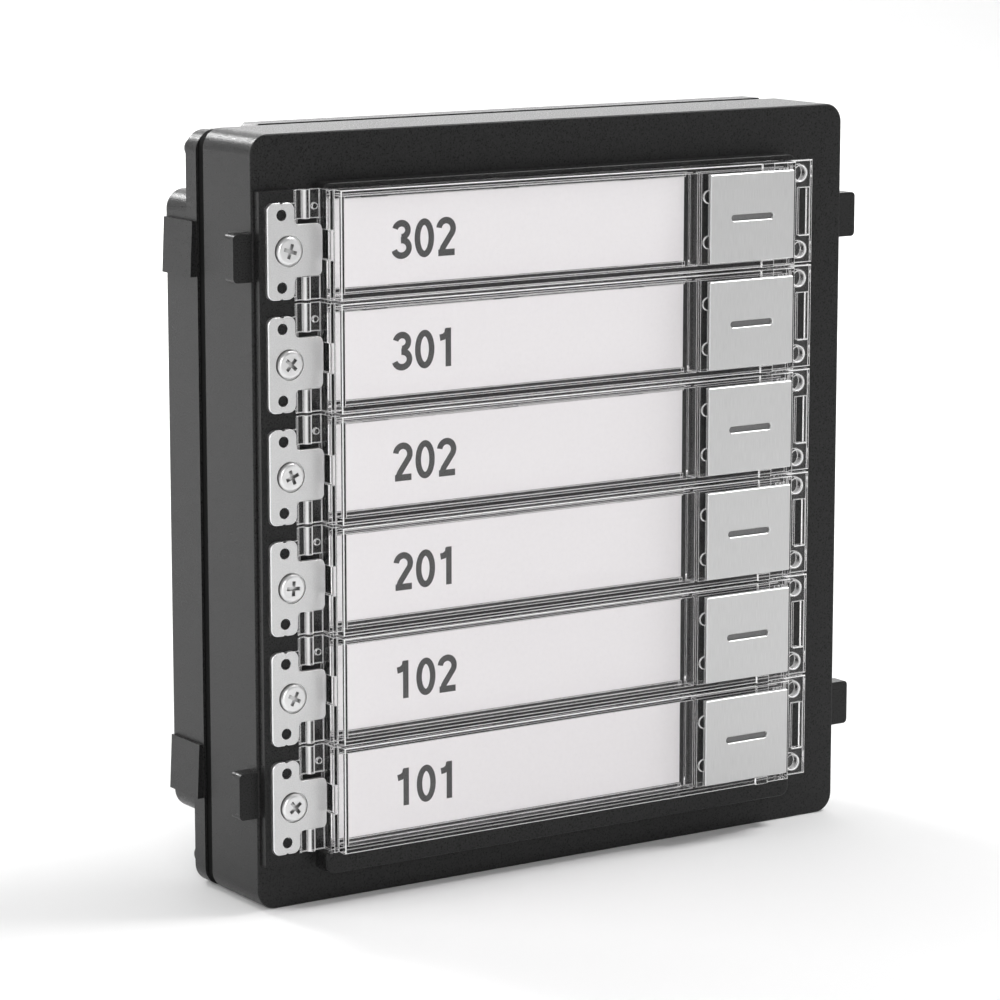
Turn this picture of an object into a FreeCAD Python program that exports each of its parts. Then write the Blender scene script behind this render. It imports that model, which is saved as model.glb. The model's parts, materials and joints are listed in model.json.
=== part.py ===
import FreeCAD, Part
import os

# Door intercom call panel with rows of lit name tags and lever call buttons, in millimetres.
# X runs to the right, Y runs from the front into the wall, and Z runs up.
# The origin is the centre of the flat rear face, so the front looks along -Y.

# Driving dimensions of the two housing shells
housing_width = 93.5
housing_height = 100.0
housing_corner_radius = 2.6
front_edge_radius = 0.3
wall = 2.0
front_wall = 1.8
front_shell_depth = 12.1
gasket_thickness = 1.9
flange_thickness = 2.7
rear_box_depth = 5.7
rear_box_bottom = -41.0
rear_box_top = 41.5
flange_top_drop = 0.5
flange_rear = front_shell_depth + gasket_thickness + flange_thickness
total_depth = flange_rear + rear_box_depth

# Rows of call buttons
row_count = 6
row_pitch = 14.35
rows_centre_z = 0.05
cover_half_height = 7.0

# Raised parts of the front face, as heights in front of it
base_height = 1.1
pad_height = 2.7
core_height = 0.6
base_left = -46.3
base_right = -41.2
base_bottom = -44.0
base_top = 43.0
core_left = -36.0
core_right = 34.8
pad_left = -38.2
pad_right = 36.9
pad_bottom = -45.8
pad_top = 43.7
pad_corner_radius = 1.3

# Clear cover with its window, flexures and right-hand flange
cover_left = -36.6
cover_right = 35.2
cover_front = 4.9
window_thickness = 1.0
rim_rear = 1.75
rim_wall = 0.8
ledge_left = -37.3
ledge_front = 3.3
strip_rear = 0.15
strip_front = 0.7
lip_right = 39.2
lip_front = 3.4
lip_rear = 2.5
lip_opening_left = 37.0
lip_opening_right = 38.7
lip_opening_half_height = 3.2
boss_x = 37.1
boss_radius = 1.2
boss_offset_z = 5.2
cover_edge_radius = 0.18
bead_x = -39.3
bead_radius = 0.6
divider_left = 19.2
divider_thickness = 0.6
strip_heights = [(3.3, 7.0), (-7.0, -4.0)]
strip_peg_x = -38.1
strip_peg_offset_z = 4.85
strip_peg_radius = 0.4
notch_half_height = 1.9
card_finger_places = [-30.0, -10.0, 10.0]
card_finger_half_width = 2.0

# Name card
card_left = -35.7
card_right = 18.3
card_half_height = 5.6
card_front = 2.0
card_thickness = 0.25

# Button cap, its slot and the parts behind it
cap_centre_x = 27.6
cap_width = 14.0
cap_height = 11.9
cap_front = 5.35
cap_rear = 4.5
cap_slot_length = 7.0
cap_slot_width = 0.85
stud_offset_z = 3.04
stud_radius = 0.85
hook_left = 29.4
hook_right = 31.4
guide_opening_length = 8.2
guide_opening_width = 2.2
plunger_offset_z = -3.8
plunger_radius = 1.6
plunger_clearance = 0.08
plunger_front = 1.9
plunger_rear = 4.6
push_gap = 0.1
post_radius = 1.3

# Clamp plates and their screws
plate_offset_z = -0.55
plate_left = -45.45
plate_waist_x = -41.5
plate_right = -37.5
plate_half_height = 6.125
tongue_half_height = 3.3
plate_thickness = 0.65
pin_x = -43.4
pin_offset_z = 4.57
clamp_screw_x = -42.4
clamp_head_radius = 1.85
clamp_head_height = 0.75
clamp_turn = 18
clamp_turn_step = 25
clamp_recess_gap = 0.2
clamp_recess_depth = 0.3
pin_radius = 0.6
pin_gap = 0.13
tab_half_height = 5.9
tab_gap = 0.1
tab_left = -44.6

# Inside: distances behind the front plane
diffuser_front = 1.8
diffuser_rear = 2.6
board_front = 6.6
board_thickness = 1.6
board_half_width = 42.5
board_half_height = 43.5
switch_front = 3.1
light_box_left = -36.2
light_box_right = 19.4
window_left = -34.2
window_right = 17.2
window_half_height = 4.7

# Screws
corner_screw_x = 44.1
corner_screw_z = 46.9
board_screw_x = 39.5
shank_radius = 0.9
rear_boss_radius = 1.25
rear_boss_height = 1.6
rear_head_radius = 1.5
rear_head_height = 1.5
board_head_radius = 1.8
board_head_height = 1.1
corner_boss_radius = 2.6
board_boss_radius = 2.3
clamp_boss_radius = 1.9
clamp_boss_rear = 5.6

# Bus sockets at the rear
socket_x = 15.0
socket_z = -24.0
socket_width = 12.4
socket_height = 8.4
socket_rear = 22.0

# Side lugs and rear clips
lug_offset_z = 34.6
lug_height = 6.1
lug_reach = 2.6
lug_thickness = 2.2
clip_height = 7.2
clip_offset_z = 34.4
clip_front = 14.3
clip_rear = 21.8
clip_reach_bottom = 0.85
clip_reach_top = 0.5
rail_left = -38.5
rail_right = 44.0
rail_bottom = 49.0
rail_bevel = 1.0


def ahead(distance):
    """Y of a plane this far in front of the housing's front face."""
    return -total_depth - distance


def behind(distance):
    """Y of a plane this far behind the housing's front face."""
    return -total_depth + distance


def row_z(row):
    """Height of a row's centre, counted from 0 at the top."""
    return rows_centre_z + row_pitch * ((row_count - 1) / 2 - row)


def plate_z(row):
    return row_z(row) + plate_offset_z


def box(x0, x1, y0, y1, z0, z1):
    return Part.makeBox(x1 - x0, y1 - y0, z1 - z0, FreeCAD.Vector(x0, y0, z0))


def rounded_box(x0, x1, y0, y1, z0, z1, radius):
    """A box whose four edges along Y are rounded."""
    block = box(x0, x1, y0, y1, z0, z1)
    along_y = [edge for edge in block.Edges if abs(edge.tangentAt(edge.FirstParameter).y) > 0.99]
    return block.makeFillet(radius, along_y)


def peg(x, z, radius, y0, y1):
    """A round peg along Y."""
    return Part.makeCylinder(radius, y1 - y0, FreeCAD.Vector(x, y0, z), FreeCAD.Vector(0, 1, 0))


def rod_z(x, y, radius, z0, z1):
    """A round rod along Z."""
    return Part.makeCylinder(radius, z1 - z0, FreeCAD.Vector(x, y, z0), FreeCAD.Vector(0, 0, 1))


def bar_slot(x, z, length, width, y0, y1):
    """A bar along X with round ends, extruded along Y."""
    end_radius = width / 2
    half_run = length / 2 - end_radius
    middle = box(x - half_run, x + half_run, y0, y1, z - end_radius, z + end_radius)
    ends = [peg(x - half_run, z, end_radius, y0, y1), peg(x + half_run, z, end_radius, y0, y1)]
    return middle.fuse(ends).removeSplitter()


def edges_at_y(shape, y):
    """Edges that lie wholly in the plane of this Y."""
    flat = []
    for edge in shape.Edges:
        if max(abs(edge.BoundBox.YMin - y), abs(edge.BoundBox.YMax - y)) < 1e-4:
            flat.append(edge)
    return flat


def outline_prism(points, y0, y1):
    """A straight-sided outline in X and Z, extruded along Y."""
    corners = [FreeCAD.Vector(x, y0, z) for x, z in points]
    face = Part.Face(Part.makePolygon(corners + corners[:1]))
    return face.extrude(FreeCAD.Vector(0, y1 - y0, 0))


def corner_screw_places():
    return [(x, z) for x in (-corner_screw_x, corner_screw_x) for z in (-corner_screw_z, corner_screw_z)]


def board_screw_places():
    """Board screws stand half way between two rows, near the top and near the bottom."""
    heights = [(row_z(0) + row_z(1)) / 2 + plate_offset_z, (row_z(4) + row_z(5)) / 2 + plate_offset_z]
    return [(x, z) for x in (-board_screw_x, board_screw_x) for z in heights]


def front_shell():
    """The hollow front case without its raised front details."""
    half_width = housing_width / 2
    half_height = housing_height / 2
    case = rounded_box(-half_width, half_width, behind(0), behind(front_shell_depth),
                       -half_height, half_height, housing_corner_radius)
    outside = case.copy()
    case = case.makeFillet(front_edge_radius, edges_at_y(case, behind(0)))
    hollow = rounded_box(wall - half_width, half_width - wall, behind(front_wall),
                         behind(front_shell_depth + 1), wall - half_height, half_height - wall,
                         housing_corner_radius - wall)
    shell = case.cut(hollow)
    boss_front = behind(front_wall - 0.1)
    for x, z in corner_screw_places():
        boss = peg(x, z, corner_boss_radius, boss_front, behind(front_shell_depth))
        shell = shell.fuse(boss.common(outside))
    for x, z in board_screw_places():
        shell = shell.fuse(peg(x, z, board_boss_radius, boss_front, behind(board_front)))
    for row in range(row_count):
        boss = peg(clamp_screw_x, plate_z(row), clamp_boss_radius, boss_front, behind(clamp_boss_rear))
        shell = shell.fuse(boss)
    return shell


def raised_front():
    """The plate base at the left, the core under the covers, and the strips above and below."""
    base = rounded_box(base_left, base_right, ahead(base_height), behind(0.5), base_bottom, base_top, 0.15)
    rows_top = row_z(0) + cover_half_height + 0.2
    rows_bottom = row_z(row_count - 1) - cover_half_height - 0.2
    pad = rounded_box(pad_left, pad_right, ahead(pad_height), behind(0.5),
                      pad_bottom, pad_top, pad_corner_radius)
    pad = pad.makeFillet(0.2, edges_at_y(pad, ahead(pad_height)))
    tray = box(pad_left - 1, pad_right + 1, ahead(pad_height + 1), behind(0.6), rows_bottom, rows_top)
    core = box(core_left, core_right, ahead(core_height), behind(0.5), rows_bottom - 0.1, rows_top + 0.1)
    return base.fuse(pad.cut(tray)).fuse(core)


def side_lugs():
    lugs = []
    outer = housing_width / 2 + lug_reach
    inner = housing_width / 2 - 1
    for z in (-lug_offset_z, lug_offset_z):
        for side in (-1, 1):
            x0 = min(side * inner, side * outer)
            x1 = max(side * inner, side * outer)
            lug = rounded_box(x0, x1, behind(0.1), behind(0.1 + lug_thickness),
                              z - lug_height / 2, z + lug_height / 2, 0.6)
            lugs.append(lug)
    return lugs


def front_openings():
    """Everything that is cut out of the front case."""
    cuts = []
    for x, z in corner_screw_places():
        cuts.append(peg(x, z, shank_radius, behind(4), behind(front_shell_depth + 1)))
    for x, z in board_screw_places():
        cuts.append(peg(x, z, shank_radius, behind(2.8), behind(board_front + 1)))
    for row in range(row_count):
        z = row_z(row)
        tab_z = plate_z(row)
        tab_space = tab_half_height + tab_gap
        cuts.append(box(window_left, window_right, ahead(3), behind(3),
                        z - window_half_height, z + window_half_height))
        cuts.append(peg(cap_centre_x, z + plunger_offset_z, post_radius + 0.4, ahead(3), behind(3)))
        cuts.append(bar_slot(cap_centre_x, z, guide_opening_length, guide_opening_width,
                             ahead(3), behind(3)))
        cuts.append(box(tab_left - 0.2, base_right + 0.1, ahead(base_height + 1), behind(0),
                        tab_z - tab_space, tab_z + tab_space))
        cuts.append(peg(clamp_screw_x, tab_z, shank_radius, ahead(1), behind(5)))
    return cuts


def locating_pins():
    tip = ahead(base_height + plate_thickness - clamp_recess_depth)
    return [peg(pin_x, plate_z(row) + side * pin_offset_z, pin_radius, tip, behind(0.5))
            for row in range(row_count) for side in (-1, 1)]


def front_housing():
    solid = front_shell().fuse(raised_front()).fuse(side_lugs())
    for cutter in front_openings():
        solid = solid.cut(cutter)
    return solid.fuse(locating_pins()).removeSplitter()


def gasket():
    """A flat rubber ring between the shells, with an ear round each corner screw."""
    inset = 0.35
    ring_width = 1.7
    half_width = housing_width / 2 - inset
    half_height = housing_height / 2 - inset
    y0 = behind(front_shell_depth)
    y1 = behind(front_shell_depth + gasket_thickness)
    disc = rounded_box(-half_width, half_width, y0, y1, -half_height, half_height,
                       housing_corner_radius - inset)
    hole = rounded_box(ring_width - half_width, half_width - ring_width, y0 - 1, y1 + 1,
                       ring_width - half_height, half_height - ring_width,
                       housing_corner_radius - ring_width)
    ring = disc.cut(hole)
    for x, z in corner_screw_places():
        ring = ring.fuse(peg(x, z, corner_boss_radius, y0, y1).common(disc))
    for x, z in corner_screw_places():
        ring = ring.cut(peg(x, z, shank_radius + 0.3, y0 - 1, y1 + 1))
    return ring.removeSplitter()


def rear_clip(side, z):
    """A snap pad on the rear box, thicker at its lower end."""
    face = housing_width / 2
    bottom = z - clip_height / 2
    top = z + clip_height / 2
    outline = [(side * (face - 1), bottom), (side * (face + clip_reach_bottom), bottom),
               (side * (face + clip_reach_top), top), (side * (face - 1), top)]
    return outline_prism(outline, behind(clip_front), behind(clip_rear))


def socket_places():
    return {"bus_socket_in": -socket_x, "bus_socket_out": socket_x}


def rear_housing():
    """The rear case: a flange against the gasket, a shallow box, clips, screw bosses and a top rail."""
    half_width = housing_width / 2
    half_height = housing_height / 2
    flange_front_y = behind(front_shell_depth + gasket_thickness)
    flange_rear_y = behind(flange_rear)
    inside_y = behind(total_depth - wall)
    flange = rounded_box(-half_width, half_width, flange_front_y, flange_rear_y,
                         -half_height, half_height - flange_top_drop, housing_corner_radius)
    rear_box = rounded_box(-half_width, half_width, flange_front_y + 0.1, behind(total_depth),
                           rear_box_bottom, rear_box_top, housing_corner_radius)
    rear_box = rear_box.makeFillet(0.5, edges_at_y(rear_box, behind(total_depth)))
    rail = outline_prism([(rail_left, rail_bottom), (rail_left + rail_bevel, half_height),
                          (rail_right - rail_bevel, half_height), (rail_right, rail_bottom)],
                         flange_front_y, flange_rear_y + 1.0)
    bosses = [peg(x, z, rear_boss_radius, flange_rear_y - 1, flange_rear_y + rear_boss_height)
              for x, z in corner_screw_places()]
    clips = [rear_clip(side, z) for side in (-1, 1) for z in (-clip_offset_z, clip_offset_z)]
    solid = flange.fuse([rear_box, rail] + bosses + clips)
    hollow = rounded_box(wall - half_width, half_width - wall, flange_front_y - 1, inside_y,
                         rear_box_bottom + wall, rear_box_top - wall, 2.5)
    solid = solid.cut(hollow)
    for x, z in corner_screw_places():
        solid = solid.cut(peg(x, z, shank_radius + 0.1, flange_front_y - 1, behind(total_depth)))
    opening_width = socket_width / 2 + 0.3
    opening_height = socket_height / 2 + 0.3
    for x in socket_places().values():
        solid = solid.cut(box(x - opening_width, x + opening_width, inside_y - 1, behind(total_depth) + 1,
                              socket_z - opening_height, socket_z + opening_height))
    return solid.removeSplitter()


def clamp_plate(row):
    """A pressed steel plate: two ears with a locating hole each, and a tongue to the right."""
    z = plate_z(row)
    y0 = ahead(base_height + plate_thickness)
    y1 = ahead(base_height)
    ears = rounded_box(plate_left, plate_waist_x, y0, y1, z - plate_half_height, z + plate_half_height, 1.0)
    tongue = rounded_box(plate_waist_x - 2, plate_right, y0, y1,
                         z - tongue_half_height, z + tongue_half_height, 0.7)
    plate = ears.fuse(tongue).removeSplitter()
    inner = []
    for edge in plate.Edges:
        middle = edge.BoundBox.Center
        at_waist = abs(middle.x - plate_waist_x) < 1e-3
        if at_waist and abs(abs(middle.z - z) - tongue_half_height) < 1e-3:
            inner.append(edge)
    plate = plate.makeFillet(0.6, inner)
    plate = plate.makeFillet(0.12, edges_at_y(plate, y0))
    for side in (-1, 1):
        plate = plate.cut(peg(pin_x, z + side * pin_offset_z, pin_radius + pin_gap, y0 - 1, y1 + 1))
        plate = plate.cut(peg(pin_x, z + side * (plate_half_height + 0.12), 0.3, y0 - 1, y1 + 1))
    plate = plate.cut(peg(clamp_screw_x, z, shank_radius + 0.2, y0 - 1, y1 + 1))
    recess_radius = clamp_head_radius + clamp_recess_gap
    return plate.cut(peg(clamp_screw_x, z, recess_radius, y0 - 1, y0 + clamp_recess_depth))


def pan_screw(x, z, head_radius, head_height, seat, tip, turn):
    """A pan-head screw with a cross recess turned by some degrees. The head stands on the plane Y = seat,
    on the side away from the tip."""
    step = -1 if tip > seat else 1
    head_y = sorted((seat, seat + step * head_height))
    shank_y = sorted((seat, tip))
    head = peg(x, z, head_radius, head_y[0], head_y[1])
    head = head.makeFillet(head_height * 0.6, edges_at_y(head, seat + step * head_height))
    screw = head.fuse(peg(x, z, shank_radius, shank_y[0], shank_y[1]))
    recess_y = sorted((seat + step * head_height * 0.25, seat + step * (head_height + 1)))
    reach = head_radius * 0.52
    arm = head_radius * 0.13
    cross = box(x - reach, x + reach, recess_y[0], recess_y[1], z - arm, z + arm)
    cross = cross.fuse(box(x - arm, x + arm, recess_y[0], recess_y[1], z - reach, z + reach))
    cross.rotate(FreeCAD.Vector(x, 0, z), FreeCAD.Vector(0, 1, 0), turn)
    return screw.cut(cross)


def clamp_screws():
    seat = ahead(base_height + plate_thickness - clamp_recess_depth)
    return [pan_screw(clamp_screw_x, plate_z(row), clamp_head_radius, clamp_head_height, seat, behind(4.6),
                      clamp_turn + clamp_turn_step * row) for row in range(row_count)]


def rear_screws():
    seat = behind(flange_rear + rear_boss_height)
    return [pan_screw(x, z, rear_head_radius, rear_head_height, seat, behind(5), 30)
            for x, z in corner_screw_places()]


def board_screws():
    seat = behind(board_front + board_thickness)
    return [pan_screw(x, z, board_head_radius, board_head_height, seat, behind(3.2), 10)
            for x, z in board_screw_places()]


def cover_flexures(z):
    """Two bending strips at the left, each with a round stiffening bead, and the clamped tab."""
    strip_y = (ahead(strip_front), ahead(strip_rear))
    left = base_right + 0.1
    parts = []
    for low, high in strip_heights:
        parts.append(box(left, ledge_left + 0.1, strip_y[0], strip_y[1], z + low, z + high))
        bead = rod_z(bead_x, ahead(strip_front - 0.05), bead_radius, z + low, z + high)
        bead_space = box(left, ledge_left, ahead(strip_front + 1), ahead(strip_front - 0.2),
                         z + low, z + high)
        parts.append(bead.common(bead_space))
        parts.append(box(left, left + 0.3, ahead(strip_front + 0.25), ahead(strip_rear), z + low, z + high))
    parts.append(peg(strip_peg_x, z + strip_peg_offset_z, strip_peg_radius,
                     ahead(strip_front + 0.35), ahead(strip_rear)))
    parts.append(box(left, left + 0.6, strip_y[0], strip_y[1], z - cover_half_height, z + cover_half_height))
    tab_z = z + plate_offset_z
    tab = box(tab_left, left + 0.1, ahead(base_height - tab_gap), ahead(strip_rear),
              tab_z - tab_half_height, tab_z + tab_half_height)
    tab = tab.cut(peg(clamp_screw_x, tab_z, shank_radius + 0.35, ahead(2), behind(1)))
    for side in (-1, 1):
        tab = tab.cut(peg(pin_x, tab_z + side * pin_offset_z, pin_radius + 0.25, ahead(2), behind(1)))
    parts.append(tab)
    return parts


def cover_window(z):
    """The clear tray over the name card, with its stepped left wall and the button seat."""
    half = cover_half_height
    slab = box(cover_left, cover_right, ahead(cover_front), ahead(cover_front - window_thickness),
               z - half, z + half)
    slab = slab.makeFillet(cover_edge_radius, edges_at_y(slab, ahead(cover_front)))
    outer = box(cover_left, cover_right, ahead(cover_front - 0.5), ahead(rim_rear), z - half, z + half)
    inner = box(cover_left + rim_wall, cover_right - rim_wall, ahead(cover_front), ahead(0),
                z - half + rim_wall, z + half - rim_wall)
    ledge = box(ledge_left, cover_left + 0.1, ahead(ledge_front), ahead(strip_rear), z - half, z + half)
    foot = box(ledge_left, cover_left + 0.35, ahead(rim_rear + 0.1), ahead(strip_rear), z - half, z + half)
    notch = box(ledge_left - 0.1, ledge_left + 0.45, ahead(ledge_front + 0.1), ahead(strip_front),
                z - notch_half_height, z + notch_half_height)
    divider = box(divider_left, divider_left + divider_thickness, ahead(cover_front - 0.5), ahead(rim_rear),
                  z - half + 0.3, z + half - 0.3)
    wall_part = outer.cut(inner).fuse([divider, ledge, foot]).cut(notch)
    return slab.fuse(wall_part)


def card_lips(z):
    """Small lips on the long rims that hold the card from behind."""
    lips = []
    rear = card_front - card_thickness
    for side in (-1, 1):
        root = z + side * (cover_half_height - rim_wall + 0.1)
        finger = sorted((root, z + side * (card_half_height - 0.7)))
        seat = sorted((root, z + side * (card_half_height + 0.05)))
        lips.append(box(card_left - 0.2, card_right, ahead(card_front + 0.3), ahead(rear - 0.35),
                        seat[0], seat[1]))
        for x in card_finger_places:
            lips.append(box(x - card_finger_half_width, x + card_finger_half_width,
                            ahead(rear), ahead(rear - 0.35), finger[0], finger[1]))
    return lips


def cover_lip(z):
    """The thin lip right of the button, with an opening and two round guide bosses."""
    half = cover_half_height
    lip = box(cover_right - rim_wall, lip_right, ahead(lip_front), ahead(lip_rear), z - half, z + half)
    lip = lip.cut(box(lip_opening_left, lip_opening_right, ahead(lip_front + 1), ahead(0),
                      z - lip_opening_half_height, z + lip_opening_half_height))
    lip = lip.makeFillet(cover_edge_radius, edges_at_y(lip, ahead(lip_front)))
    for side in (-1, 1):
        boss_z = z + side * boss_offset_z
        lip = lip.fuse(peg(boss_x, boss_z, boss_radius, ahead(lip_rear + 0.1), ahead(1.15)))
        lip = lip.cut(boss_dimple(boss_z))
    return lip


def boss_dimple(z):
    """A shallow round dimple with sloping sides, in front of a boss."""
    floor_y = ahead(lip_front - 0.15)
    return Part.makeCone(boss_radius, boss_radius - 0.2, 0.2, FreeCAD.Vector(boss_x, floor_y - 0.2, z),
                         FreeCAD.Vector(0, 1, 0))


def name_cover(row):
    z = row_z(row)
    cap_left = cap_centre_x - cap_width / 2
    solid = cover_window(z).fuse(cover_lip(z)).fuse(cover_flexures(z)).fuse(card_lips(z))
    studs = [peg(cap_left - 0.1, z + side * stud_offset_z, stud_radius,
                 ahead(cover_front + 0.2), ahead(cover_front - 0.9)) for side in (-1, 1)]
    hooks = []
    for side in (-1, 1):
        reach = sorted((z + side * cover_half_height, z + side * (cap_height / 2 + 0.1)))
        hooks.append(box(hook_left, hook_right, ahead(cover_front + 0.25), ahead(cover_front - 0.5),
                         reach[0], reach[1]))
    post = peg(cap_centre_x, z + plunger_offset_z, post_radius, ahead(cover_front - window_thickness + 0.1),
               behind(plunger_front - push_gap))
    solid = solid.fuse(studs + hooks + [post])
    seat = box(cap_left, cap_left + cap_width, ahead(cover_front + 1), ahead(cap_rear),
               z - cap_height / 2, z + cap_height / 2)
    slot = bar_slot(cap_centre_x, z, cap_slot_length, cap_slot_width,
                    ahead(cover_front + 1), ahead(cover_front - 2))
    return solid.cut(seat).cut(slot).removeSplitter()


def name_card(row):
    z = row_z(row)
    return box(card_left, card_right, ahead(card_front), ahead(card_front - card_thickness),
               z - card_half_height, z + card_half_height)


def button_cap(row):
    """A brushed plate with a finely broken front edge and a slot for the light."""
    z = row_z(row)
    cap = rounded_box(cap_centre_x - cap_width / 2, cap_centre_x + cap_width / 2, ahead(cap_front),
                      ahead(cap_rear), z - cap_height / 2, z + cap_height / 2, 0.15)
    slot = bar_slot(cap_centre_x, z, cap_slot_length, cap_slot_width, ahead(cap_front + 1), behind(1))
    cap = cap.cut(slot)
    return cap.makeChamfer(0.1, edges_at_y(cap, ahead(cap_front)))


def light_guide(row):
    """A bar of frosted plastic that carries light to the slot in the cap."""
    return bar_slot(cap_centre_x, row_z(row), cap_slot_length, cap_slot_width,
                    ahead(cap_front - 0.35), ahead(1.6))


def switch_plunger(row):
    return peg(cap_centre_x, row_z(row) + plunger_offset_z, plunger_radius,
               behind(plunger_front), behind(plunger_rear))


def switch_bodies():
    bodies = []
    for row in range(row_count):
        z = row_z(row) + plunger_offset_z
        body = rounded_box(cap_centre_x - 3, cap_centre_x + 3, behind(switch_front), behind(board_front),
                           z - 3, z + 3, 0.4)
        bore_radius = plunger_radius + plunger_clearance
        bore = peg(cap_centre_x, z, bore_radius, behind(switch_front - 1), behind(5.6))
        bodies.append(body.cut(bore))
    return bodies


def led_chip(x, z, width, height):
    return box(x - width / 2, x + width / 2, behind(board_front - 0.9), behind(board_front),
               z - height / 2, z + height / 2)


def backlight_leds():
    return [led_chip(x, row_z(row), 2.8, 1.4) for row in range(row_count) for x in (-21.6, 4.6)]


def button_leds():
    return [led_chip(cap_centre_x, row_z(row) + 0.3, 3.0, 1.4) for row in range(row_count)]


def diffuser():
    """A milky sheet behind the front wall, with a raised window for each row."""
    low = row_z(row_count - 1) - cover_half_height
    high = row_z(0) + cover_half_height
    solid = box(light_box_left, light_box_right, behind(diffuser_front), behind(diffuser_rear), low, high)
    for row in range(row_count):
        z = row_z(row)
        solid = solid.fuse(box(window_left + 0.1, window_right - 0.1, ahead(0.3),
                               behind(diffuser_front + 0.1),
                               z - window_half_height + 0.1, z + window_half_height - 0.1))
    return solid.removeSplitter()


def light_frame():
    """A white frame with one reflecting cell for each row."""
    low = row_z(row_count - 1) - cover_half_height
    high = row_z(0) + cover_half_height
    solid = box(light_box_left, light_box_right, behind(diffuser_rear), behind(board_front), low, high)
    for row in range(row_count):
        z = row_z(row)
        solid = solid.cut(box(light_box_left + 1.2, light_box_right - 1.2, behind(diffuser_rear - 1),
                              behind(board_front + 1), z - 6.4, z + 6.4))
    return solid


def circuit_board():
    rear = behind(board_front + board_thickness)
    board = rounded_box(-board_half_width, board_half_width, behind(board_front), rear,
                        -board_half_height, board_half_height, 1.0)
    for x, z in board_screw_places():
        board = board.cut(peg(x, z, shank_radius + 0.2, behind(board_front - 1), behind(board_front + 3)))
    return board


def board_components():
    """The controller chip, a regulator and a few taller parts on the rear of the board."""
    rear = behind(board_front + board_thickness)
    chips = [box(-5, 5, rear, rear + 1.2, -2, 8), box(-26, -20, rear, rear + 1.8, 4, 9)]
    chips.append(box(14, 24, rear, rear + 2.4, 14, 20))
    chips += [peg(x, 20, 2.5, rear, rear + 5.4) for x in (-14, -6)]
    chips += [box(x, x + 2.0, rear, rear + 0.9, -10, -8.8) for x in (-12, -6, 0, 6, 12)]
    return chips


def bus_socket(x):
    """A four-way socket on the rear of the board, open to the rear."""
    half_width = socket_width / 2
    half_height = socket_height / 2
    block = box(x - half_width, x + half_width, behind(board_front + board_thickness), behind(socket_rear),
                socket_z - half_height, socket_z + half_height)
    mouth = box(x - half_width + 1.0, x + half_width - 1.0, behind(13.5), behind(socket_rear + 1),
                socket_z - half_height + 1.2, socket_z + half_height - 1.2)
    return block.cut(mouth)


def bus_pins():
    pins = []
    for x in socket_places().values():
        for place in range(4):
            pin_centre = x + 2.54 * (place - 1.5)
            pins.append(box(pin_centre - 0.32, pin_centre + 0.32, behind(13.5), behind(17.0),
                            socket_z - 0.32, socket_z + 0.32))
    return pins


def write(node, shape):
    solids = shape if isinstance(shape, list) else [shape]
    for solid in solids:
        if len(solid.Solids) != 1 or not solid.isValid():
            raise ValueError(node + " is not one valid solid per piece")
    whole = Part.makeCompound([solid.Solids[0] for solid in solids])
    if len(solids) == 1:
        whole = solids[0].Solids[0]
    whole.exportStep(os.path.join("parts", node + ".step"))


def main():
    os.makedirs("parts", exist_ok=True)
    single_pieces = [front_housing, rear_housing, gasket, diffuser, light_frame, circuit_board]
    groups = [board_components, switch_bodies, backlight_leds, button_leds, bus_pins,
              clamp_screws, rear_screws, board_screws]
    row_pieces = [clamp_plate, name_cover, name_card, button_cap, light_guide, switch_plunger]
    for make in single_pieces + groups:
        write(make.__name__, make())
    for make in row_pieces:
        for row in range(row_count):
            write(make.__name__ + "_" + str(row + 1), make(row))
    for node, x in socket_places().items():
        write(node, bus_socket(x))


main()
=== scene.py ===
"""Looks of the door intercom panel.

Adds materials, printed tags, light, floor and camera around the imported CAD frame. Lengths are in metres.
"""

import json
import math

import bpy
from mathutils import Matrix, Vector


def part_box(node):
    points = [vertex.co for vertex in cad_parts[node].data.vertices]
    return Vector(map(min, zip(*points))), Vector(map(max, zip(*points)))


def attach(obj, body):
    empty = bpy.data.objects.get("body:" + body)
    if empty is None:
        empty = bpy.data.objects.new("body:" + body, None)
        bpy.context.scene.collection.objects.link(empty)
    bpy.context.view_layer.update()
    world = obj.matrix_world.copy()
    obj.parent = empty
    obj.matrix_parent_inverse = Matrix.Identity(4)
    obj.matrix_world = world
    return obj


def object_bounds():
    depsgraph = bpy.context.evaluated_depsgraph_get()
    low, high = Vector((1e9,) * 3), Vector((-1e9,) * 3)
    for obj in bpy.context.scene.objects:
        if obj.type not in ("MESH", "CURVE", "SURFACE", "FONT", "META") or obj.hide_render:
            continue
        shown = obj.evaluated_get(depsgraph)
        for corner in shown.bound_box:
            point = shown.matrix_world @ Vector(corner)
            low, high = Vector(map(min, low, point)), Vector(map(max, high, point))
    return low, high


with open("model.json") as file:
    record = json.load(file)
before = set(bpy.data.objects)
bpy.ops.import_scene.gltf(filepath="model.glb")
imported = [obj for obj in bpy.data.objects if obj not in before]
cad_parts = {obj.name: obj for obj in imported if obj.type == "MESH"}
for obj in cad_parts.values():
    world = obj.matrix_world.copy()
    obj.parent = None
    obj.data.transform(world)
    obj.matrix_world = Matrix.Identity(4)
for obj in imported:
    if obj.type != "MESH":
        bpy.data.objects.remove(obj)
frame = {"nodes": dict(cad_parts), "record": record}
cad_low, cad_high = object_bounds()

MM = 0.001
ROWS = range(1, 7)

# Camera: where it stands round its aim, in degrees and metres, how far the aim is from the
# object's centre, and the lens and sensor in mm
VIEW_AZIMUTH = -33.476
VIEW_ELEVATION = 10.197
VIEW_DISTANCE = 0.515
VIEW_AIM = Vector((-10.1, -9.4, 0.4)) * MM
LENS = 141.03
SENSOR = 36

# Light: strength of the even surroundings, and where most lamps point, which is the
# frame's origin, in the middle of the object's rear
WORLD_STRENGTH = 0.3
CENTRE = (0, 0, 0)

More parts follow.
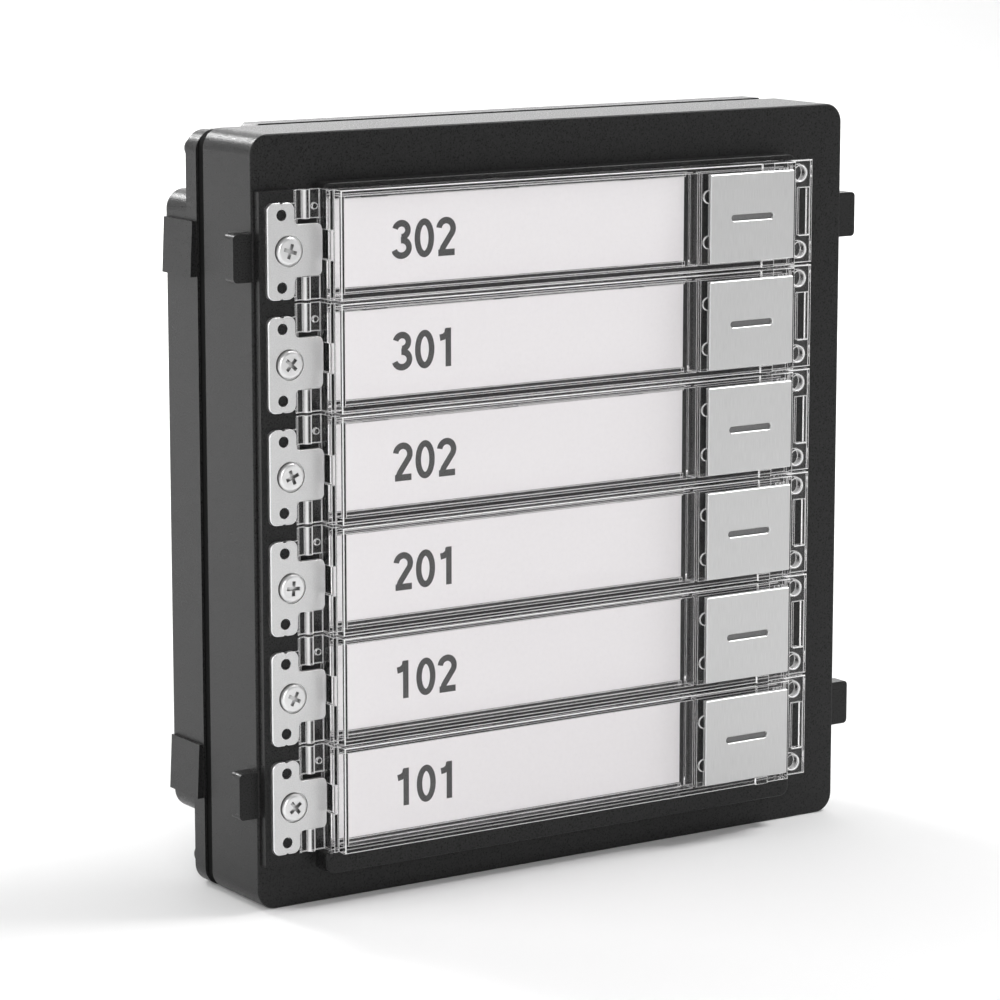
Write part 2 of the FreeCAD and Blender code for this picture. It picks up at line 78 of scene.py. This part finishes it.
# Printed tags: plain flat numbers in bold strokes. The stroke's width is a share of the
# digit's height, arcs have one point every few degrees, and a stroke whose ends are this
# close is a closed loop.
TAG_NUMBERS = ("302", "301", "202", "201", "102", "101")
DIGIT_HEIGHT = 5.0 * MM
DIGIT_STEP = 3.35 * MM
STROKE = 0.17
TAG_INDENT = 8.1 * MM
INK_THICKNESS = 0.01 * MM
ARC_STEP = 7.5
SAME_POINT = 1e-6

# Range that a noise covers in practice
NOISE_LOW = 0.3
NOISE_HIGH = 0.7

# Painted highlights along edges and round surfaces: their width, then the two values of the
# normal's largest part at which the painted line is full and at which it ends
CLEAR_HIGHLIGHT_WIDTH = 0.2 * MM
CLEAR_HIGHLIGHT_TILT = (0.88, 0.995)
METAL_HIGHLIGHT_WIDTH = 0.1 * MM
METAL_HIGHLIGHT_TILT = (0.85, 0.99)

# Metals: noise scales per metre, with brushing fine across and long along Z, and the
# painted shade colour in a screw's recess
METAL_GRAIN_SCALE = 3000
METAL_CLOUD_SCALE = 400
PLATE_GRAIN_SCALE = 6000
BRUSHING = (16000, 16000, 500)
PAINTED_RECESS_SHADE = (0.05, 0.05, 0.05)

# Clamp plates repeat at this pitch, and their turned rings are this far apart and show this much
ROW_PITCH = 14.35 * MM
RING_STEP = 0.28 * MM
RING_CONTRAST = 0.16

# Sockets of a colour Mix node, by number because their names repeat for other data types
MIX_FACTOR = 0
MIX_FIRST = 6
MIX_SECOND = 7
MIX_RESULT = 2


# ---------------------------------------------------------------- node helpers

def new_material(name):
    """A material with its nodes, links and main shader."""
    material = bpy.data.materials.new(name)
    material.use_nodes = True
    nodes = material.node_tree.nodes
    return material, nodes, material.node_tree.links, nodes["Principled BSDF"]


def object_coords(nodes, links, scale):
    """Object coordinates in metres, stretched along each axis."""
    coords = nodes.new("ShaderNodeTexCoord")
    mapping = nodes.new("ShaderNodeMapping")
    mapping.inputs["Scale"].default_value = scale
    links.new(coords.outputs["Object"], mapping.inputs["Vector"])
    return mapping.outputs["Vector"]


def noise(nodes, links, scale, detail, stretch=(1, 1, 1)):
    """Noise fixed to the piece, mostly between NOISE_LOW and NOISE_HIGH."""
    texture = nodes.new("ShaderNodeTexNoise")
    texture.inputs["Scale"].default_value = scale
    texture.inputs["Detail"].default_value = detail
    links.new(object_coords(nodes, links, stretch), texture.inputs["Vector"])
    return texture.outputs["Fac"]


def ramp(nodes, links, source, low, high):
    """Maps a noise's usual range onto low to high."""
    spread = nodes.new("ShaderNodeMapRange")
    spread.inputs["From Min"].default_value = NOISE_LOW
    spread.inputs["From Max"].default_value = NOISE_HIGH
    spread.inputs["To Min"].default_value = low
    spread.inputs["To Max"].default_value = high
    links.new(source, spread.inputs["Value"])
    return spread.outputs["Result"]


def colour_mix(nodes, links, factor, first, second):
    """Blends two colours, each either a fixed value or a socket, by the factor socket."""
    mix = nodes.new("ShaderNodeMix")
    mix.data_type = "RGBA"
    for place, colour in ((MIX_FIRST, first), (MIX_SECOND, second)):
        if isinstance(colour, tuple):
            mix.inputs[place].default_value = (*colour, 1)
        else:
            links.new(colour, mix.inputs[place])
    links.new(factor, mix.inputs[MIX_FACTOR])
    return mix.outputs[MIX_RESULT]


def grey(value):
    return (value, value, value)


def tint(nodes, links, source, dark, light):
    """A colour between dark and light, picked by a noise."""
    return colour_mix(nodes, links, ramp(nodes, links, source, 0.0, 1.0), dark, light)


def bump(nodes, links, shader, source, height):
    """Raises the surface's shading by the source, up to a height."""
    node = nodes.new("ShaderNodeBump")
    node.inputs["Distance"].default_value = height
    links.new(source, node.inputs["Height"])
    links.new(node.outputs["Normal"], shader.inputs["Normal"])


def math_node(nodes, links, operation, first, second=None):
    """One math node on sockets or plain numbers."""
    node = nodes.new("ShaderNodeMath")
    node.operation = operation
    for place, value in enumerate((first, second)):
        if value is None:
            continue
        if isinstance(value, (int, float)):
            node.inputs[place].default_value = value
        else:
            links.new(value, node.inputs[place])
    return node.outputs["Value"]


# ---------------------------------------------------------------- materials

def textured_plastic(name, dark, light, rough_low, rough_high, grain_scale, grain_height,
                     face_shine=1.0):
    """Moulded plastic with a fine spark-eroded grain, whose height is in mm.

    Face shine scales the gloss that is seen straight on.
    """
    material, nodes, links, shader = new_material(name)
    grain = noise(nodes, links, grain_scale, 2)
    links.new(tint(nodes, links, grain, dark, light), shader.inputs["Base Color"])
    links.new(ramp(nodes, links, grain, rough_low, rough_high), shader.inputs["Roughness"])
    shader.inputs["IOR"].default_value = 1.46
    shader.inputs["Specular Tint"].default_value = (face_shine, face_shine, face_shine, 1)
    bump(nodes, links, shader, grain, grain_height * MM)
    return material


def highlight_mask(nodes, links, radius, tilt_low, tilt_high):
    """Goes from 0 on faces square to the object to 1 at edges, corners and round surfaces, where painted
    highlights go.

    A face counts as square while the largest part of its normal is above tilt_high.
    """
    rounded = nodes.new("ShaderNodeBevel")
    rounded.samples = 6
    rounded.inputs["Radius"].default_value = radius
    local = nodes.new("ShaderNodeVectorTransform")
    local.vector_type = "NORMAL"
    local.convert_from = "WORLD"
    local.convert_to = "OBJECT"
    links.new(rounded.outputs["Normal"], local.inputs["Vector"])
    size = nodes.new("ShaderNodeVectorMath")
    size.operation = "ABSOLUTE"
    links.new(local.outputs["Vector"], size.inputs[0])
    axes = nodes.new("ShaderNodeSeparateXYZ")
    links.new(size.outputs["Vector"], axes.inputs["Vector"])
    larger = math_node(nodes, links, "MAXIMUM", axes.outputs["X"], axes.outputs["Y"])
    largest = math_node(nodes, links, "MAXIMUM", larger, axes.outputs["Z"])
    spread = nodes.new("ShaderNodeMapRange")
    spread.inputs["From Min"].default_value = tilt_high
    spread.inputs["From Max"].default_value = tilt_low
    links.new(largest, spread.inputs["Value"])
    return spread.outputs["Result"]


def scaled(nodes, links, source, low, high):
    """Maps a 0 to 1 mask onto low to high."""
    spread = nodes.new("ShaderNodeMapRange")
    spread.inputs["To Min"].default_value = low
    spread.inputs["To Max"].default_value = high
    links.new(source, spread.inputs["Value"])
    return spread.outputs["Result"]


def clear_plastic(name):
    """Polished clear moulding with painted highlights: at edges and round surfaces it turns a rougher,
    less clear white.

    Light for what lies under it passes unbent, so the cards stay lit.
    """
    material, nodes, links, shader = new_material(name)
    # Painted highlight: edges and round surfaces turn white, rough and less clear.
    highlight = highlight_mask(nodes, links, CLEAR_HIGHLIGHT_WIDTH, *CLEAR_HIGHLIGHT_TILT)
    shader.inputs["Base Color"].default_value = (0.999, 0.996, 0.997, 1)
    shader.inputs["IOR"].default_value = 1.49
    shader.inputs["Specular Tint"].default_value = (0.3, 0.3, 0.3, 1)
    links.new(scaled(nodes, links, highlight, 1.0, 0.12), shader.inputs["Transmission Weight"])
    links.new(scaled(nodes, links, highlight, 0.0, 0.3), shader.inputs["Roughness"])
    passing = nodes.new("ShaderNodeBsdfTransparent")
    passing.inputs["Color"].default_value = (0.945, 0.938, 0.941, 1)
    path = nodes.new("ShaderNodeLightPath")
    surface = shader.outputs["BSDF"]
    for ray in ("Is Diffuse Ray", "Is Shadow Ray"):
        mix = nodes.new("ShaderNodeMixShader")
        links.new(path.outputs[ray], mix.inputs["Fac"])
        links.new(surface, mix.inputs[1])
        links.new(passing.outputs["BSDF"], mix.inputs[2])
        surface = mix.outputs["Shader"]
    links.new(surface, nodes["Material Output"].inputs["Surface"])
    return material


def painted_edge_highlight(nodes, links, colour, highlight_colour):
    """The colour, turned lighter along edges as a painted highlight."""
    highlight = highlight_mask(nodes, links, METAL_HIGHLIGHT_WIDTH, *METAL_HIGHLIGHT_TILT)
    return colour_mix(nodes, links, highlight, colour, highlight_colour)


def brushed_metal(name, dark, light, rough_low, rough_high):
    """Metal with fine brushing that runs up and down, and painted highlights along its edges."""
    material, nodes, links, shader = new_material(name)
    strokes = noise(nodes, links, 1.0, 3, BRUSHING)
    colour = tint(nodes, links, strokes, dark, light)
    # Painted highlight: lighter colour along edges.
    links.new(painted_edge_highlight(nodes, links, colour, grey(0.78)), shader.inputs["Base Color"])
    links.new(ramp(nodes, links, strokes, rough_low, rough_high), shader.inputs["Roughness"])
    shader.inputs["Metallic"].default_value = 1.0
    bump(nodes, links, shader, strokes, 0.002 * MM)
    return material


def blasted_metal(name, dark, light, rough_low, rough_high, grain_height, shaded_hollow_width=None):
    """Metal with a fine, even finish. Hollows narrower than the given width get painted shade: darker by
    ambient occlusion.
    """
    material, nodes, links, shader = new_material(name)
    grain = noise(nodes, links, METAL_GRAIN_SCALE, 3)
    cloud = noise(nodes, links, METAL_CLOUD_SCALE, 3)
    colour = tint(nodes, links, cloud, dark, light)
    if shaded_hollow_width:
        # Painted shade: narrow hollows turn darker by ambient occlusion.
        recess_shade = nodes.new("ShaderNodeAmbientOcclusion")
        recess_shade.inputs["Distance"].default_value = shaded_hollow_width * MM
        colour = colour_mix(nodes, links, recess_shade.outputs["AO"], PAINTED_RECESS_SHADE, colour)
    links.new(colour, shader.inputs["Base Color"])
    links.new(ramp(nodes, links, grain, rough_low, rough_high), shader.inputs["Roughness"])
    shader.inputs["Metallic"].default_value = 1.0
    bump(nodes, links, shader, grain, grain_height * MM)
    return material


def turned_rings(nodes, links, centre):
    """Fine rings round every clamp screw: 0 to 1 and back with each ring."""
    coords = nodes.new("ShaderNodeTexCoord")
    axes = nodes.new("ShaderNodeSeparateXYZ")
    links.new(coords.outputs["Object"], axes.inputs["Vector"])
    aside = math_node(nodes, links, "SUBTRACT", axes.outputs["X"], centre.x)
    height = math_node(nodes, links, "SUBTRACT", axes.outputs["Z"], centre.z - ROW_PITCH / 2)
    within = math_node(nodes, links, "FLOORED_MODULO", height, ROW_PITCH)
    up = math_node(nodes, links, "SUBTRACT", within, ROW_PITCH / 2)
    squares = [math_node(nodes, links, "POWER", side, 2.0) for side in (aside, up)]
    radius = math_node(nodes, links, "SQRT", math_node(nodes, links, "ADD", *squares))
    return math_node(nodes, links, "PINGPONG", radius, RING_STEP / 2)


def plate_metal(name, dark, light):
    """Satin steel with faint turned rings round the screw and painted highlights along its edges."""
    material, nodes, links, shader = new_material(name)
    low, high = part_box("clamp_plate_1")
    screw_low, screw_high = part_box("clamp_screws")
    centre = Vector(((screw_low.x + screw_high.x) / 2, 0, (low.z + high.z) / 2))
    grain = noise(nodes, links, PLATE_GRAIN_SCALE, 3)
    rings = math_node(nodes, links, "MULTIPLY", turned_rings(nodes, links, centre),
                      RING_CONTRAST / RING_STEP)
    mottle = math_node(nodes, links, "ADD", grain, rings)
    colour = tint(nodes, links, mottle, dark, light)
    # Painted highlight: near-white colour along edges.
    links.new(painted_edge_highlight(nodes, links, colour, grey(0.97)), shader.inputs["Base Color"])
    links.new(ramp(nodes, links, mottle, 0.34, 0.46), shader.inputs["Roughness"])
    shader.inputs["Metallic"].default_value = 1.0
    bump(nodes, links, shader, grain, 0.005 * MM)
    return material


# Moulded pieces. Each row: dark and light colour, lowest and highest roughness,
# grain scale, grain height in mm, and the gloss seen straight on where it is not full.
PLASTICS = {
    "black_plastic": (grey(0.01), grey(0.024), 0.22, 0.5, 5200, 0.008, 0.3),
    "seal_rubber": (grey(0.002), grey(0.005), 0.85, 0.95, 3000, 0.004, 0.1),
    "card_film": ((0.88, 0.868, 0.875), (0.9, 0.888, 0.895), 0.55, 0.7, 1800, 0.002),
    "frosted_guide": (grey(0.13), grey(0.16), 0.4, 0.55, 3000, 0.004),
    "milky_plastic": (grey(0.74), grey(0.8), 0.35, 0.5, 2000, 0.003),
    "white_plastic": (grey(0.72), grey(0.78), 0.45, 0.6, 2500, 0.01),
    "board_laminate": ((0.01, 0.09, 0.035), (0.02, 0.15, 0.06), 0.3, 0.4, 1500, 0.01),
    "component_plastic": (grey(0.015), grey(0.03), 0.5, 0.65, 4000, 0.01),
    "plunger_plastic": ((0.45, 0.03, 0.02), (0.6, 0.05, 0.03), 0.3, 0.4, 2000, 0.004),
    "led_package": ((0.7, 0.62, 0.3), (0.85, 0.8, 0.5), 0.2, 0.35, 3000, 0.002),
    "socket_plastic": (grey(0.6), grey(0.68), 0.4, 0.55, 3000, 0.01),
}

# Evenly finished metal. Each row: dark and light colour, lowest and highest roughness,
# grain height in mm, and the width in mm of the hollows that get painted shade, if any.
BLASTED_METALS = {
    "screw_steel": (grey(0.74), grey(0.84), 0.3, 0.42, 0.004, 0.6),
    "dark_screw_steel": (grey(0.03), grey(0.05), 0.3, 0.45, 0.004),
    "contact_metal": ((0.7, 0.5, 0.2), (0.85, 0.65, 0.3), 0.2, 0.3, 0.002),
}


def make_materials():
    """One material per slot of the record."""
    made = {name: textured_plastic(name, *look) for name, look in PLASTICS.items()}
    for name, look in BLASTED_METALS.items():
        made[name] = blasted_metal(name, *look)
    made["clear_plastic"] = clear_plastic("clear_plastic")
    made["brushed_aluminium"] = brushed_metal("brushed_aluminium", grey(0.55), grey(0.64), 0.36, 0.5)
    made["stainless_plate"] = plate_metal("stainless_plate", grey(0.62), grey(0.72))
    return made


def dress_frame(materials):
    """Gives every CAD node the material of its slot in the record."""
    for part in frame["record"]["subparts"]:
        node = frame["nodes"][part["node"]]
        node.data.materials.clear()
        node.data.materials.append(materials[part["material_slot"]])


def add_mesh(name, vertices, faces, material):
    """A mesh object in the scene."""
    mesh = bpy.data.meshes.new(name)
    mesh.from_pydata(vertices, [], faces)
    mesh.materials.append(material)
    piece = bpy.data.objects.new(name, mesh)
    bpy.context.scene.collection.objects.link(piece)
    return piece


# ---------------------------------------------------------------- printed tags

def ink_material():
    """Matt dark grey printing ink."""
    material, nodes, links, shader = new_material("tag_ink")
    speck = noise(nodes, links, 2500, 2)
    links.new(tint(nodes, links, speck, grey(0.045), grey(0.06)), shader.inputs["Base Color"])
    links.new(ramp(nodes, links, speck, 0.5, 0.65), shader.inputs["Roughness"])
    return material


def arc(x, z, radius_x, radius_z, start, end):
    """Points along an elliptic arc, with angles in degrees from +X towards +Z."""
    steps = int(abs(end - start) / ARC_STEP)
    turn = (end - start) / steps
    angles = [math.radians(start + turn * step) for step in range(steps + 1)]
    return [(x + radius_x * math.cos(angle), z + radius_z * math.sin(angle)) for angle in angles]


def digit_strokes(digit):
    """Centre lines of the strokes of 0, 1, 2 or 3, in a box one unit high."""
    inset = STROKE / 2
    if digit == "0":
        return [arc(0.31, 0.5, 0.21, 0.5 - inset, 0, 360)]
    if digit == "1":
        stem = [(0.36, 0.0), (0.36, 1.0)]
        flag = [(0.1, 0.76), (0.22, 0.78), (0.31, 0.85), (0.34, 0.97)]
        return [stem, flag]
    if digit == "2":
        bowl = arc(0.3, 0.7, 0.215, 0.3 - inset, 172, -38)
        base = [(0.06, inset), (0.56, inset)]
        return [bowl + [(0.2, 0.21), (0.15, inset)], base]
    upper = arc(0.29, 0.735, 0.195, 0.265 - inset, 165, -90)
    lower = arc(0.29, 0.285, 0.225, 0.285 - inset, 95, -165)
    return [upper, lower]


def stroke_strip(points):
    """A flat strip of even width along a centre line, as corners in pairs."""
    corners = []
    last = len(points) - 1
    closed = math.dist(points[0], points[last]) < SAME_POINT
    for place, (x, z) in enumerate(points):
        before = points[(place - 1) % last] if closed else points[max(place - 1, 0)]
        after = points[(place + 1) % last] if closed else points[min(place + 1, last)]
        run_x = after[0] - before[0]
        run_z = after[1] - before[1]
        reach = STROKE / 2 / math.hypot(run_x, run_z)
        corners.append((x - run_z * reach, z + run_x * reach))
        corners.append((x + run_z * reach, z - run_x * reach))
    return corners


def print_tag(row, number, material):
    """A flat number printed on a row's card. Each stroke lies one ink layer above the last."""
    low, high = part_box("name_card_" + str(row))
    base = (low.z + high.z - DIGIT_HEIGHT) / 2
    vertices = []
    faces = []
    for place, digit in enumerate(number):
        left = low.x + TAG_INDENT + place * DIGIT_STEP
        for layer, points in enumerate(digit_strokes(digit), 1):
            first = len(vertices)
            front = low.y - INK_THICKNESS * layer
            for x, z in stroke_strip(points):
                vertices.append((left + x * DIGIT_HEIGHT, front, base + z * DIGIT_HEIGHT))
            for step in range(len(points) - 1):
                corner = first + 2 * step
                faces.append((corner, corner + 1, corner + 3, corner + 2))
    piece = add_mesh("tag_print_" + str(row), vertices, faces, material)
    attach(piece, "tag_" + str(row))


# ---------------------------------------------------------------- studio

def area_light(name, place, target, size, power):
    """A rectangular soft light. Place and target are points in the frame; size is width and height."""
    data = bpy.data.lights.new(name, "AREA")
    data.shape = "RECTANGLE"
    data.size = size[0]
    data.size_y = size[1]
    data.energy = power
    lamp = bpy.data.objects.new(name, data)
    bpy.context.scene.collection.objects.link(lamp)
    lamp.location = Vector(place)
    lamp.rotation_euler = (Vector(target) - Vector(place)).to_track_quat("-Z", "Y").to_euler()


def make_floor():
    """A plain pale floor far larger than the view, curving up at the back."""
    depth = 1.6
    rise = 1.4
    width = 3.0
    bend = 0.5
    steps = 16
    profile = [(-depth, 0.0), (depth - bend, 0.0)]
    for step in range(1, steps + 1):
        angle = math.pi / 2 * step / steps
        profile.append((depth - bend + bend * math.sin(angle), bend * (1 - math.cos(angle))))
    profile.append((depth, rise))
    vertices = [(side * width, y, cad_low.z + z) for y, z in profile for side in (-1, 1)]
    faces = [(2 * i, 2 * i + 1, 2 * i + 3, 2 * i + 2) for i in range(len(profile) - 1)]
    material, nodes, links, shader = new_material("studio_floor")
    cloud = noise(nodes, links, 3, 2)
    links.new(tint(nodes, links, cloud, grey(0.9), grey(0.92)), shader.inputs["Base Color"])
    shader.inputs["Roughness"].default_value = 0.9
    floor = add_mesh("studio_floor", vertices, faces, material)
    for face in floor.data.polygons:
        face.use_smooth = True


def make_world():
    """Even white light from everywhere."""
    world = bpy.data.worlds.new("studio_world")
    bpy.context.scene.world = world
    world.use_nodes = True
    background = world.node_tree.nodes["Background"]
    background.inputs["Color"].default_value = (1, 1, 1, 1)
    background.inputs["Strength"].default_value = WORLD_STRENGTH


def make_lights():
    """Front light, shine for the case's top, side and corner, and a wash on the backdrop."""
    area_light("key", (-0.45, -0.95, 0.3), CENTRE, (0.4, 0.4), 3.6)
    area_light("top_right", (0.5, -0.15, 0.8), CENTRE, (0.3, 0.3), 5)
    area_light("front_right", (0.9, -0.8, 0.35), CENTRE, (0.5, 0.7), 1.2)
    area_light("back_strip", (0.75, 1.15, 0.4), CENTRE, (1.4, 0.5), 2.6)
    area_light("left_back", (-0.75, 0.35, 0.1), CENTRE, (0.5, 0.9), 6)
    area_light("corner_glint", (-0.2, 1.1, 0.65), CENTRE, (0.3, 0.3), 5.5)
    area_light("backdrop_wash", (0.6, 0.4, 0.95), (0.95, 1.5, 0), (2.2, 0.7), 16)


def make_camera():
    """The photo's view, with a plain lens: no shift and no depth of field."""
    centre = (cad_low + cad_high) / 2 + VIEW_AIM
    azimuth = math.radians(VIEW_AZIMUTH)
    elevation = math.radians(VIEW_ELEVATION)
    level = math.cos(elevation)
    back = Vector((math.sin(azimuth) * level, -math.cos(azimuth) * level, math.sin(elevation)))
    data = bpy.data.cameras.new("camera")
    data.lens = LENS
    data.sensor_width = SENSOR
    data.clip_start = 0.01
    data.clip_end = 20
    camera = bpy.data.objects.new("camera", data)
    bpy.context.scene.collection.objects.link(camera)
    camera.location = centre + back * VIEW_DISTANCE
    camera.rotation_euler = (-back).to_track_quat("-Z", "Y").to_euler()
    bpy.context.scene.camera = camera


def main():
    """Builds the whole picture round the frame."""
    dress_frame(make_materials())
    ink = ink_material()
    for row, number in zip(ROWS, TAG_NUMBERS):
        print_tag(row, number, ink)
    make_floor()
    make_world()
    make_lights()
    make_camera()
    view = bpy.context.scene.view_settings
    view.view_transform = "Standard"
    view.look = "None"


main()
